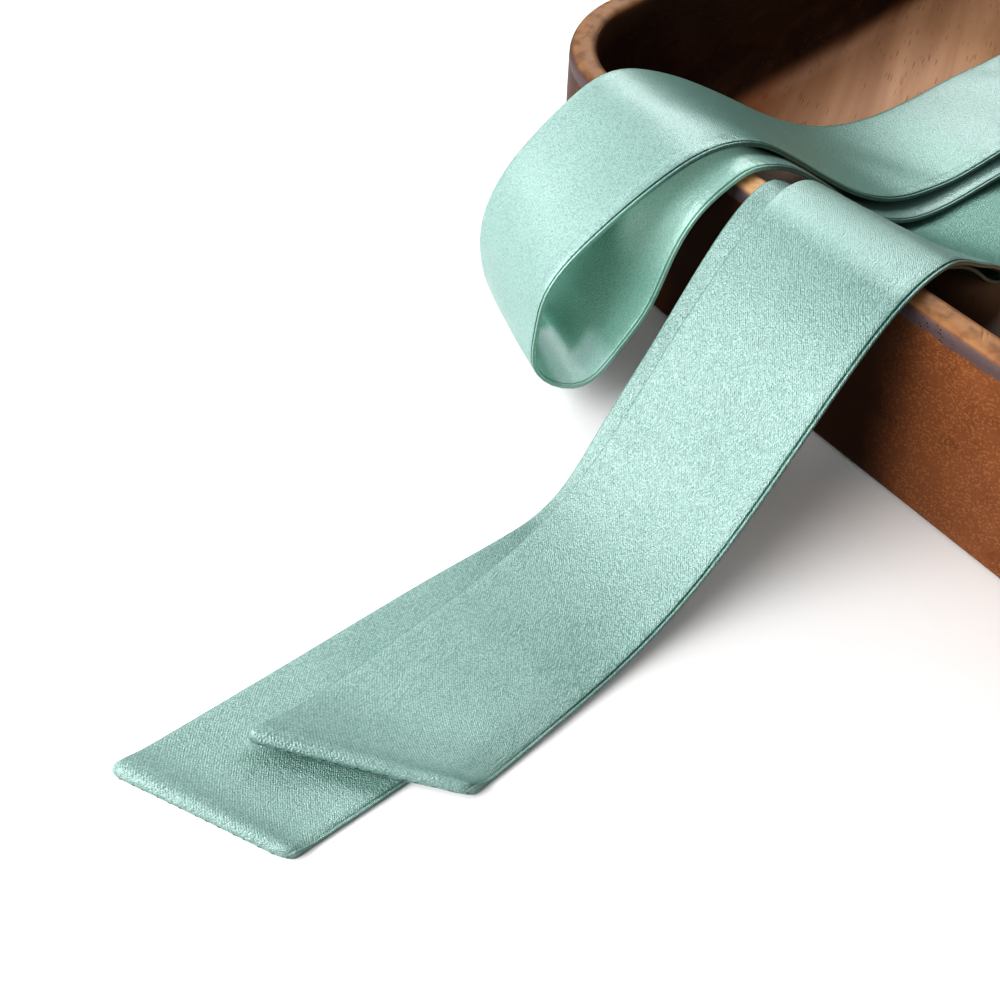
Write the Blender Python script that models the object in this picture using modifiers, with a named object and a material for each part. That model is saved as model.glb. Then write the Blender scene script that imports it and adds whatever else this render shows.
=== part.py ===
"""A skinny satin scarf laid over the front wall of a carved wooden tray.

The scarf is one long strip, sewn as a tube, turned and pressed flat.  It lies doubled: its
middle hangs over the front wall as a loop, the doubled strip runs back over the tray's floor,
turns under itself there, and comes out over the front wall again as two slanted tails that
lie on the table.

Sizes are in millimetres and become metres when a mesh is made.  x runs along the tray's front
wall from its middle, y runs back from the front wall's outer face, and z runs up from the
table.
"""
import math

import bmesh
import bpy
import numpy as np

MM = 0.001

# The scarf's driving sizes.  CLOTH_WALL is the pressed tube's two layers together, and
# SEAM_GAP parts each stretch from the next one and from what it lies on.
SCARF_WIDTH = 50.0
CLOTH_WALL = 1.6
SEAM_GAP = 0.3
# How much longer the right edge is than the left one where a tip is cut on its slant, and
# the length over which the cross sections swing round to it
LOWER_TIP_SLANT = 29.0
UPPER_TIP_SLANT = 35.0
TIP_RUN = 75.0
# The share of the width at which an edge that hangs beside the strip below starts to sag
SAG_FROM = 0.8

# The tray's driving sizes
TRAY_LENGTH = 320.0
TRAY_DEPTH = 290.0
TRAY_HEIGHT = 71.0
TRAY_WALL = 10.0
TRAY_FLOOR = 7.0
CORNER_RADIUS = 40.0
RIM_RADIUS = 3.5
INSIDE_FOOT_RADIUS = 18.0
CORNER_STEPS = 8
FOOT_STEPS = 5
RIM_STEPS = 3

# Where the doubled strip turns under itself on the tray's floor.  TURN_EASE keeps the
# faceted outer turn clear of the faceted inner one.
TURN_Y = 228.0
TURN_X_LOW = -49.0
TURN_X_HIGH = -53.0
INNER_TURN_RADIUS = 3.5
LAYER_STEP = CLOTH_WALL + SEAM_GAP
TURN_EASE = 0.3
OUTER_TURN_RADIUS = INNER_TURN_RADIUS + LAYER_STEP + TURN_EASE
TURN_Z = TRAY_FLOOR + SEAM_GAP + CLOTH_WALL / 2 + OUTER_TURN_RADIUS
TURN_STEPS = 4

# How finely the strip is cut into faces
STEPS_PER_ROW = 3
COLUMNS_ACROSS = 6

# Each table follows the middle of one stretch.  Its columns are x, y, z, turn, tilt and sag.
# turn swings the strip's cross direction in plan and tilt raises its right edge, both in
# degrees.  sag is how far the right edge drops beside the strip below.  A height that is too
# low is lifted until the strip rests on the table, the tray's floor or the strip below.
LOWER_TAIL = [
    (-29.5, -240.0, 0.5, -3.5, 0, 0),
    (-26.0, -201.0, 0.5, -4.0, 0, 0),
    (-23.0, -165.0, 0.5, -3.5, 0, 0),
    (-20.5, -136.0, 0.5, -3.5, 0, 0),
    (-17.8, -112.0, 0.6, -4.0, 1, 0),
    (-16.0, -87.0, 4.2, -2.5, 1, 0),
    (-19.0, -66.0, 19.2, -1.0, 0, 0),
    (-22.7, -41.5, 40.8, -1.0, 0, 0),
    (-26.7, -16.5, 61.8, 0.5, 0, 0),
    (-28.6, -2.0, 71.2, 1.5, 0, 0),
    (-29.1, 6.0, 72.3, 2.0, 0, 0),
    (-29.5, 13.0, 69.5, 2.0, 0, 0),
    (-29.7, 26.0, 60.0, 3.0, 2, 0),
    (-29.5, 45.0, 45.5, 4.5, 9, 0),
    (-29.0, 66.0, 28.5, 6.0, 13, 0),
    (-28.5, 84.0, 14.5, 8.0, 9, 0),
    (-29.5, 103.0, 9.0, 9.5, 2, 0),
    (-32.5, 124.0, 7.8, 11.0, 0, 0),
    (-38.5, 160.0, 7.8, 8.0, 0, 0),
    (-45.0, 195.0, 7.8, 3.0, 0, 0),
]
UPPER_TAIL = [
    (-39.0, 190.0, 9.7, 3.0, 0, 0),
    (-32.0, 153.0, 9.7, 8.0, 0, 0),
    (-27.0, 124.0, 9.8, 9.0, 0, 0),
    (-24.8, 103.0, 12.0, 8.5, 4, 0),
    (-24.0, 85.0, 20.0, 7.0, 11, 0),
    (-23.7, 68.0, 32.5, 5.5, 14, 0),
    (-23.0, 47.0, 49.5, 4.5, 9, 0),
    (-22.5, 27.0, 65.0, 3.8, 2, 0),
    (-21.5, 14.0, 72.5, 3.5, -1, 0),
    (-21.0, 6.0, 75.2, 3.0, -2, 0),
    (-20.2, -3.0, 73.6, 2.0, -1, 0),
    (-19.0, -15.0, 68.8, 1.5, 1, 0),
    (-16.3, -36.5, 53.6, 2.5, 1, 0),
    (-13.6, -58.5, 32.1, 2.2, 1, 0),
    (-11.4, -82.5, 13.4, 2.0, 1, 0),
    (-10.2, -106.0, 4.6, 2.4, 0, 0),
    (-9.6, -138.0, 2.4, 2.4, 0, 1.2),
    (-9.8, -168.0, 2.4, 2.4, 0, 1.8),
    (-10.8, -202.0, 2.4, 2.7, 0, 1.8),
]
LOOP_TOP = [
    (-60.5, 200.0, 18.4, -4.0, 4, 0),
    (-67.2, 165.0, 16.2, -9.0, 8, 0),
    (-71.5, 131.0, 14.2, -11.0, 4, 0),
    (-77.0, 96.0, 21.5, -11.0, 0, 0),
    (-83.5, 62.0, 41.8, -9.4, 0, 0),
    (-88.8, 35.0, 62.0, -7.4, 2, 0),
    (-92.5, 13.6, 74.5, -6.9, 3, 0),
    (-94.6, -3.7, 78.1, -7.6, 1, 0),
    (-97.2, -21.6, 71.9, -8.4, 3, 0),
    (-99.6, -40.3, 60.6, -11.2, 6, 0),
    (-100.4, -53.3, 46.3, -15.6, 10, 0),
    (-99.0, -57.2, 32.2, -18.8, 11, 0),
    (-95.2, -56.5, 15.9, -25.0, 12, 0),
]
LOOP_BOTTOM_ROW = (-87.5, -44.5, 7.9, -22.0, 13, 0)
LOOP_BACK = [
    (-85.8, -33.6, 19.1, -18.2, 8, 0),
    (-85.4, -24.8, 35.2, -11.3, 5, 0),
    (-86.0, -18.5, 52.3, -8.3, 4, 0),
    (-85.6, -10.0, 66.5, -5.9, 2, 0),
    (-84.8, -1.0, 71.6, -5.0, 1, 0),
    (-84.3, 6.0, 73.0, -4.5, 1, 0),
    (-83.5, 14.5, 70.3, -4.4, 3, 0),
    (-81.8, 29.0, 61.5, -4.4, 5, 0),
    (-77.6, 49.4, 45.5, -4.5, 5, 0),
    (-72.3, 77.0, 24.0, -6.5, 3, 0),
    (-69.2, 94.0, 15.0, -7.0, 4, 0),
    (-66.4, 112.0, 11.2, -7.5, 5, 0),
    (-62.5, 148.0, 12.0, -7.5, 6, 0),
    (-58.0, 180.0, 13.8, -5.0, 4, 0),
    (-54.5, 207.0, 15.8, -2.0, 2, 0),
]


def turn_rows(radius):
    """Rows round the back of the heap, from the low strand up to the high one."""
    rows = []
    for step in range(TURN_STEPS + 1):
        share = step / TURN_STEPS
        angle = math.pi * share
        x = TURN_X_LOW + (TURN_X_HIGH - TURN_X_LOW) * share
        y = TURN_Y + radius * math.sin(angle)
        z = TURN_Z - radius * math.cos(angle)
        rows.append((x, y, z, 0, 0, 0))
    return rows


def spline_slopes(along, values):
    """Slopes at the rows of the smooth curve, a natural cubic spline, through them."""
    gaps = np.diff(along)[:, None]
    rise = np.diff(values, axis=0) / gaps
    count = len(along)
    grid = np.zeros((count, count))
    right = np.zeros(values.shape)
    grid[0, :2] = 2, 1
    right[0] = 3 * rise[0]
    grid[-1, -2:] = 1, 2
    right[-1] = 3 * rise[-1]
    for row in range(1, count - 1):
        before, after = gaps[row - 1], gaps[row]
        grid[row, row - 1:row + 2] = after[0], 2 * (before + after)[0], before[0]
        right[row] = 3 * (after * rise[row - 1] + before * rise[row])
    return np.linalg.solve(grid, right)


def follow(along, values, slopes, at):
    """Values of the smooth curve at the given lengths along it."""
    row = np.clip(np.searchsorted(along, at, side="right") - 1, 0, len(along) - 2)
    gap = along[row + 1] - along[row]
    part = ((at - along[row]) / gap)[..., None]
    gap = gap[..., None]
    start = (1 + 2 * part) * (1 - part) ** 2 * values[row]
    start = start + part * (1 - part) ** 2 * gap * slopes[row]
    end = part ** 2 * (3 - 2 * part) * values[row + 1]
    end = end + part ** 2 * (part - 1) * gap * slopes[row + 1]
    return start + end


def off_the_wall(y, z, lift):
    """Points of the strip's middle surface, moved out to lift from the front wall's wood."""
    half = TRAY_WALL / 2
    side = np.sign(y - half)
    beside = np.maximum(np.abs(y - half) - (half - RIM_RADIUS), 0)
    above = z - (TRAY_HEIGHT - RIM_RADIUS)
    round_top = above > 0
    reach = np.where(round_top, np.hypot(beside, np.maximum(above, 0)), beside)
    push = np.clip(lift + RIM_RADIUS - reach, 0, None)
    share = push / np.maximum(reach, 1e-6)
    new_y = y + side * beside * share
    new_z = z + np.where(round_top, above * share, 0)
    return new_y, new_z


def middle_surface(curve, at, across, layer):
    """Grid of points: rows at lengths along the strip, columns at shares of its width."""
    along, values, slopes = curve
    data = follow(along, values, slopes, at)
    turn = np.radians(data[..., 3])
    tilt = np.radians(data[..., 4])
    side = (across - 0.5) * SCARF_WIDTH
    x = data[..., 0] + side * np.cos(turn) * np.cos(tilt)
    y = data[..., 1] + side * np.sin(turn) * np.cos(tilt)
    z = data[..., 2] + side * np.sin(tilt)
    drop = np.clip((across - SAG_FROM) / (1 - SAG_FROM), 0, 1)
    drop = data[..., 5] * drop ** 2 * (3 - 2 * drop)
    stack = (layer + 0.5) * CLOTH_WALL + layer * SEAM_GAP
    y, z = off_the_wall(y, z, stack + SEAM_GAP)
    in_tray = y > TRAY_WALL
    support = np.where(in_tray, TRAY_FLOOR + SEAM_GAP, 0.0)
    z = np.maximum(z, support + stack) - drop
    return np.stack([x, y, z], -1)


def strip_curve(rows):
    """The whole scarf's centre line, from the lower tip round to the upper tip."""
    values = np.array(rows, float)
    steps = np.linalg.norm(np.diff(values[:, :3], axis=0), axis=1)
    along = np.concatenate([[0.0], np.cumsum(steps)])
    return along, values, spline_slopes(along, values)


def stretch_lengths(along, first, last, first_is_tip, last_is_tip):
    """Lengths along the strip at which a stretch has its cross sections."""
    lengths = []
    for row in range(first, last):
        span = along[row + 1] - along[row]
        lengths += [along[row] + span * step / STEPS_PER_ROW for step in range(STEPS_PER_ROW)]
    lengths.append(along[last])
    if not first_is_tip:
        lengths[0] += SEAM_GAP / 2
    if not last_is_tip:
        lengths[-1] -= SEAM_GAP / 2
    return np.array(lengths)


def slanted(at, across, tip_length, slant):
    """Lengths moved so that the strip's end is cut on a slant, longest at its left edge."""
    toward = np.sign(at.mean() - tip_length)
    fade = np.clip(1 - np.abs(at - tip_length) / TIP_RUN, 0, 1)
    return at + toward * slant * across * fade


def make_material(name, colour, roughness):
    material = bpy.data.materials.new(name)
    material.use_nodes = True
    shader = material.node_tree.nodes["Principled BSDF"]
    shader.inputs["Base Color"].default_value = (*colour, 1.0)
    shader.inputs["Roughness"].default_value = roughness
    shader.inputs["Metallic"].default_value = 0.0
    return material


def add_object(name, mesh_in_progress, material, collection, parent):
    """A named object from a bmesh whose points are in millimetres."""
    bmesh.ops.scale(mesh_in_progress, vec=(MM, MM, MM), verts=mesh_in_progress.verts)
    mesh = bpy.data.meshes.new(name)
    mesh_in_progress.to_mesh(mesh)
    mesh_in_progress.free()
    mesh.materials.append(material)
    thing = bpy.data.objects.new(name, mesh)
    collection.objects.link(thing)
    thing.parent = parent
    return thing


def add_stretch(name, points, material, collection, parent):
    """One stretch of the pressed tube: an open grid with a Solidify wall and eased edges."""
    rows, columns = points.shape[:2]
    work = bmesh.new()
    bmesh.ops.create_grid(work, x_segments=columns - 1, y_segments=rows - 1, size=1)
    work.verts.ensure_lookup_table()
    for vert, place in zip(work.verts, points.reshape(-1, 3)):
        vert.co = place
    stretch = add_object(name, work, material, collection, parent)
    wall = stretch.modifiers.new("pressed tube", "SOLIDIFY")
    wall.thickness = CLOTH_WALL * MM
    wall.offset = 0.0
    wall.use_even_offset = True
    eased = stretch.modifiers.new("rolled edge", "BEVEL")
    eased.width = CLOTH_WALL / 3 * MM
    eased.segments = 1
    eased.limit_method = "ANGLE"
    eased.angle_limit = math.radians(50)
    stretch.data.shade_smooth()
    return stretch


def rounded_block(length, depth, bottom, top, corner, foot):
    """A block round the tray's middle with round corners in plan and a round foot."""
    work = bmesh.new()
    bmesh.ops.create_cube(work, size=1)
    bmesh.ops.scale(work, vec=(length, depth, top - bottom), verts=work.verts)
    bmesh.ops.translate(work, vec=(0, TRAY_DEPTH / 2, (top + bottom) / 2), verts=work.verts)
    upright = [e for e in work.edges if abs(e.verts[0].co.z - e.verts[1].co.z) > 1]
    bmesh.ops.bevel(work, geom=upright, offset=corner, segments=CORNER_STEPS, profile=0.5,
                    affect="EDGES")
    if foot:
        low = [e for e in work.edges if max(v.co.z for v in e.verts) < bottom + 1e-3]
        bmesh.ops.bevel(work, geom=low, offset=foot, segments=FOOT_STEPS, profile=0.5,
                        affect="EDGES")
    return work


def add_tray(material, collection, cutters, parent):
    """The carved tray: a rounded block, hollowed, with every outer edge sanded round."""
    outside = rounded_block(TRAY_LENGTH, TRAY_DEPTH, 0.0, TRAY_HEIGHT, CORNER_RADIUS, 0)
    tray = add_object("tray", outside, material, collection, parent)
    inside = rounded_block(TRAY_LENGTH - 2 * TRAY_WALL, TRAY_DEPTH - 2 * TRAY_WALL,
                           TRAY_FLOOR, TRAY_HEIGHT + 20, CORNER_RADIUS - TRAY_WALL,
                           INSIDE_FOOT_RADIUS)
    hollow = add_object("tray_hollow_cutter", inside, material, cutters, parent)
    hollow.hide_render = True
    hollow.display_type = "WIRE"
    carve = tray.modifiers.new("carved hollow", "BOOLEAN")
    carve.operation = "DIFFERENCE"
    carve.solver = "EXACT"
    carve.object = hollow
    rim = tray.modifiers.new("sanded rim", "BEVEL")
    rim.width = RIM_RADIUS * MM
    rim.segments = RIM_STEPS
    rim.limit_method = "ANGLE"
    rim.angle_limit = math.radians(60)
    tray.data.shade_smooth()
    return tray


def add_scarf(material, collection, parent):
    """Every stretch of the scarf, in order from the lower tip to the upper tip."""
    outer_turn = turn_rows(OUTER_TURN_RADIUS)
    inner_turn = turn_rows(INNER_TURN_RADIUS)[::-1]
    stretches = [
        ("lower_tail", LOWER_TAIL, 0),
        ("outer_turn", outer_turn, 0),
        ("loop_top", LOOP_TOP + [LOOP_BOTTOM_ROW], 0),
        ("loop_back", LOOP_BACK, 0),
        ("inner_turn", inner_turn, 1),
        ("upper_tail", UPPER_TAIL, 1),
    ]
    rows = [row for _, table, _ in stretches for row in table]
    curve = strip_curve(rows)
    along = curve[0]
    across = np.linspace(0, 1, COLUMNS_ACROSS + 1)[None, :]
    first = 0
    for name, table, layer in stretches:
        last = min(first + len(table), len(rows) - 1)
        is_lower_tip = name == "lower_tail"
        is_upper_tip = name == "upper_tail"
        lengths = stretch_lengths(along, first, last, is_lower_tip, is_upper_tip)
        at = np.repeat(lengths[:, None], across.shape[1], axis=1)
        if is_lower_tip:
            at = slanted(at, across, along[0], LOWER_TIP_SLANT)
        if is_upper_tip:
            at = slanted(at, across, along[-1], UPPER_TIP_SLANT)
        points = middle_surface(curve, at, np.broadcast_to(across, at.shape), layer)
        add_stretch(name, points, material, collection, parent)
        first = last


def clear_scene():
    for thing in list(bpy.data.objects):
        bpy.data.objects.remove(thing, do_unlink=True)


def new_collection(name):
    collection = bpy.data.collections.new(name)
    bpy.context.scene.collection.children.link(collection)
    return collection


def put_origin_under_the_middle(parent):
    """Slide everything so that the origin is under the middle of the whole part."""
    bpy.context.view_layer.update()
    graph = bpy.context.evaluated_depsgraph_get()
    lows, highs = [], []
    for thing in parent.children:
        if thing.hide_render:
            continue
        mesh = thing.evaluated_get(graph).data
        places = np.array([vert.co[:] for vert in mesh.vertices])
        lows.append(places.min(axis=0))
        highs.append(places.max(axis=0))
    low = np.min(lows, axis=0)
    high = np.max(highs, axis=0)
    parent.location = (-(low[0] + high[0]) / 2, -(low[1] + high[1]) / 2, -low[2])


clear_scene()
part_collection = new_collection("skinny_scarf_over_wooden_tray")
cutter_collection = new_collection("cutters")
origin = bpy.data.objects.new("scarf_and_tray", None)
part_collection.objects.link(origin)
satin = make_material("mint_satin", (0.36, 0.62, 0.53), 0.45)
wood = make_material("oiled_dark_wood", (0.20, 0.08, 0.035), 0.40)
add_tray(wood, part_collection, cutter_collection, origin)
add_scarf(satin, part_collection, origin)
put_origin_under_the_middle(origin)
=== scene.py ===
"""A skinny mint satin scarf, laid doubled over the front wall of a carved wooden tray.

Everything is in metres in the model's own frame: x runs along the tray's front wall, y runs
back from the tails towards the tray's back wall, and z runs up from the table.
"""
import math

import bmesh
import bpy
import numpy as np
from mathutils import Matrix, Vector


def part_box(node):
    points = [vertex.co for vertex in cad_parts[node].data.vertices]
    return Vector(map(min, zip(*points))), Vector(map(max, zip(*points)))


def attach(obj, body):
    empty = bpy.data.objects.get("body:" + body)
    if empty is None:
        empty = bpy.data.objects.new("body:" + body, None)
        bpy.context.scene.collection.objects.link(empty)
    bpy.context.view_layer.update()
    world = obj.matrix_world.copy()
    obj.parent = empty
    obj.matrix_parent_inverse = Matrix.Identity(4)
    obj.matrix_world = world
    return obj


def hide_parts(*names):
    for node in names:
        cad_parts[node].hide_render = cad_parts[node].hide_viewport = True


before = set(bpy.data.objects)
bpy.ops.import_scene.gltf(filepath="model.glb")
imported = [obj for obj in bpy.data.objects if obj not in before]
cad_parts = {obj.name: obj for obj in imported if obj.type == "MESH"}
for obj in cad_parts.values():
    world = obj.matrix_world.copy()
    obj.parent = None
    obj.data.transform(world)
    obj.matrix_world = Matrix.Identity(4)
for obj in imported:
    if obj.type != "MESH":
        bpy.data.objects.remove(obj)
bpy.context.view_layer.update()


# The tray.
# One block of dark hardwood, hollowed by carving, with its rim sanded round.  Its grain runs
# from front to back, so the front wall shows end grain.  It is oiled, with a soft gloss.
MM = 0.001
TRAY_LENGTH = 320.0
TRAY_DEPTH = 290.0
TRAY_HEIGHT = 71.0
TRAY_WALL = 10.0
TRAY_FLOOR = 7.0
CORNER_RADIUS = 40.0
RIM_RADIUS = 3.5
INSIDE_FOOT_RADIUS = 18.0
CORNER_STEPS = 24
LONG_SIDE_STEPS = 28
SHORT_SIDE_STEPS = 24
KNIFE_WAVE = 0.09
RIM_WAVE = 0.10
GRAIN_TURN = 27.0
FRONT_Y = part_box("tray")[0][1] / MM


def rim_arc(inset_from, height_from, inset_step, height_step, steps):
    """A quarter round in the wall's profile, from a vertical face to a level one."""
    arc = []
    for step in range(steps + 1):
        angle = math.pi / 2 * step / steps
        arc.append((inset_from + inset_step * (1 - math.cos(angle)),
                    height_from + height_step * math.sin(angle)))
    return arc


def straight_part(inset, height_from, height_to, steps):
    """A straight part of the wall's profile, without its two ends."""
    return [(inset, height_from + (height_to - height_from) * part / steps)
            for part in range(1, steps)]


def tray_profile():
    """The wall's profile as (inset from the outer face, height), from underside to floor."""
    top = TRAY_HEIGHT - RIM_RADIUS
    foot = TRAY_FLOOR + INSIDE_FOOT_RADIUS
    profile = rim_arc(0, RIM_RADIUS, RIM_RADIUS, -RIM_RADIUS, 6)[::-1]
    profile += straight_part(0, RIM_RADIUS, top, 16)
    profile += rim_arc(0, top, RIM_RADIUS, RIM_RADIUS, 8)
    profile += rim_arc(TRAY_WALL, top, -RIM_RADIUS, RIM_RADIUS, 8)[::-1]
    profile += straight_part(TRAY_WALL, top, foot, 9)
    profile += rim_arc(TRAY_WALL, foot, INSIDE_FOOT_RADIUS, -INSIDE_FOOT_RADIUS, 14)
    return profile


def tray_ring(inset, height):
    """One level loop of points round the tray, with its corners round in plan."""
    radius = max(CORNER_RADIUS - inset, 1.0)
    half_length = TRAY_LENGTH / 2 - inset
    half_depth = TRAY_DEPTH / 2 - inset
    points = []
    for corner, (side_x, side_y) in enumerate(((1, 1), (-1, 1), (-1, -1), (1, -1))):
        for step in range(CORNER_STEPS + 1):
            angle = math.radians(90 * corner + 90 * step / CORNER_STEPS)
            points.append((side_x * (half_length - radius) + radius * math.cos(angle),
                           side_y * (half_depth - radius) + radius * math.sin(angle)))
        next_x, next_y = ((-1, 1), (-1, -1), (1, -1), (1, 1))[corner]
        start = np.array(points[-1])
        angle = math.radians(90 * corner + 90)
        end = np.array([next_x * (half_length - radius) + radius * math.cos(angle),
                        next_y * (half_depth - radius) + radius * math.sin(angle)])
        count = LONG_SIDE_STEPS if side_x != next_x else SHORT_SIDE_STEPS
        points += [tuple(start + (end - start) * part / count) for part in range(1, count)]
    points = np.array(points)
    # The knife left each face a little wavy
    x, y = points[:, 0], points[:, 1]
    wave = np.sin(x / 23 + height / 17 + 1) + np.sin(y / 19 - height / 29 + 4)
    wave += np.sin((x - y) / 41 + height / 11)
    middle = points / np.maximum(np.linalg.norm(points, axis=1), 1)[:, None]
    points = points - middle * KNIFE_WAVE * (wave[:, None] + 1.5)
    level = np.full(len(points), height)
    if height > TRAY_HEIGHT - 1:
        level = level - RIM_WAVE * (1 + np.sin(x / 31 + y / 27))
    return np.column_stack([points[:, 0], points[:, 1] + FRONT_Y + TRAY_DEPTH / 2, level])


def carve_tray():
    """The tray's mesh: level rings joined from the underside up, over the rim and down."""
    work = bmesh.new()
    rings = []
    for inset, height in tray_profile():
        rings.append([work.verts.new(place * MM) for place in tray_ring(inset, height)])
    count = len(rings[0])
    for low, high in zip(rings, rings[1:]):
        for spot in range(count):
            after = (spot + 1) % count
            work.faces.new((low[spot], low[after], high[after], high[spot]))
    work.faces.new(rings[0][::-1])
    work.faces.new(rings[-1])
    mesh = bpy.data.meshes.new("carved_tray")
    work.to_mesh(mesh)
    work.free()
    mesh.shade_smooth()
    tray = bpy.data.objects.new("carved_tray", mesh)
    bpy.context.scene.collection.objects.link(tray)
    return tray


class Pattern:
    """What varies over a surface: one output of a finish's nodes, worked on like a number."""

    def __init__(self, socket):
        self.socket = socket

    def node(self, kind, settings, values, output=0):
        """A new node of the same finish: its settings are made first, then its inputs."""
        tree = self.socket.id_data
        node = tree.nodes.new("ShaderNode" + kind)
        for name, setting in settings.items():
            setattr(node, name, setting)
        for place, value in values.items():
            if isinstance(value, Pattern):
                tree.links.new(value.socket, node.inputs[place])
            else:
                node.inputs[place].default_value = value
        return Pattern(node.outputs[output])

    def maths(self, operation, *others):
        return self.node("Math", {"operation": operation}, dict(enumerate((self, *others))))

    def __add__(self, other):
        return self.maths("ADD", other)

    __radd__ = __add__

    def __sub__(self, other):
        return self.maths("SUBTRACT", other)

    def __rsub__(self, other):
        return self.node("Math", {"operation": "SUBTRACT"}, {0: other, 1: self})

    def __mul__(self, other):
        return self.maths("MULTIPLY", other)

    __rmul__ = __mul__

    def rising(self, low, high):
        """0 below low and 1 above high, with a smooth rise between."""
        settings = {"interpolation_type": "SMOOTHSTEP"}
        return self.node("MapRange", settings, {0: self, 1: low, 2: high, 3: 0.0, 4: 1.0})

    def between(self, low, high, soft):
        """1 between low and high, fading to 0 over soft on both sides."""
        return self.rising(low - soft, low) * (1 - self.rising(high, high + soft))

    def colour(self, first, second):
        """first where this pattern is 0 and second where it is 1, blended between."""
        first = first if isinstance(first, Pattern) else (*first, 1.0)
        second = second if isinstance(second, Pattern) else (*second, 1.0)
        return self.node("Mix", {"data_type": "RGBA"}, {0: self, 6: first, 7: second}, 2)

    def stretched(self, scale, turn=(0.0, 0.0, 0.0)):
        """These coordinates scaled along each axis, then turned."""
        turn = tuple(math.radians(angle) for angle in turn)
        return self.node("Mapping", {}, {0: self, 2: turn, 3: scale})

    def clouds(self, size, detail=2.0, roughness=0.5, distortion=0.0):
        """Soft cloudy noise in these coordinates, about 0 to 1."""
        values = {"Vector": self, "Scale": 1 / size, "Detail": detail,
                  "Roughness": roughness, "Distortion": distortion}
        return self.node("TexNoise", {}, values)

    def cells(self, size, jitter=1.0):
        """Distance from the middles of scattered cells, in cell sizes."""
        values = {"Vector": self, "Scale": 1 / size, "Randomness": jitter}
        return self.node("TexVoronoi", {}, values)


def new_finish(name):
    """A plain material and the shader that its patterns feed."""
    material = bpy.data.materials.new(name)
    material.use_nodes = True
    return material, material.node_tree.nodes["Principled BSDF"]


def feed(shader, place, pattern):
    """Links a pattern to one of the shader's inputs."""
    shader.id_data.links.new(pattern.socket, shader.inputs[place])


def coordinates(shader, output):
    """Places or directions on the piece itself, in metres."""
    return Pattern(shader.outputs[0]).node("TexCoord", {}, {}, output)


WALL_BROWN = (0.125, 0.040, 0.015)
WALL_LIGHT = (0.252, 0.100, 0.041)
WALL_BLOTCH = (0.190, 0.073, 0.030)
WALL_SHADE = (0.028, 0.010, 0.005)
FLOOR_TAN = (0.420, 0.236, 0.140)
FLOOR_LIGHT = (0.540, 0.326, 0.202)
FLOOR_BAND = (0.230, 0.105, 0.052)
FLOOR_LIT = (0.66, 0.42, 0.27)
SHADE_FRINGE = (0.300, 0.105, 0.034)
DARK_HEARTWOOD_AND_SHADE = (0.022, 0.008, 0.004)
DARK_HEARTWOOD_AND_SHADE_PALER = (0.060, 0.028, 0.016)
PORE_DASH = (0.150, 0.062, 0.030)
PORE_SPECK = (0.34, 0.165, 0.070)
SHEEN_GREY = (0.098, 0.076, 0.082)
PORE_BLACK = (0.006, 0.004, 0.004)
RIM_BROWN = (0.170, 0.080, 0.038)
RIM_ORANGE = (0.310, 0.165, 0.075)
RIM_LIT = (0.78, 0.50, 0.27)
CHECK_BROWN = (0.10, 0.040, 0.018)


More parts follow.
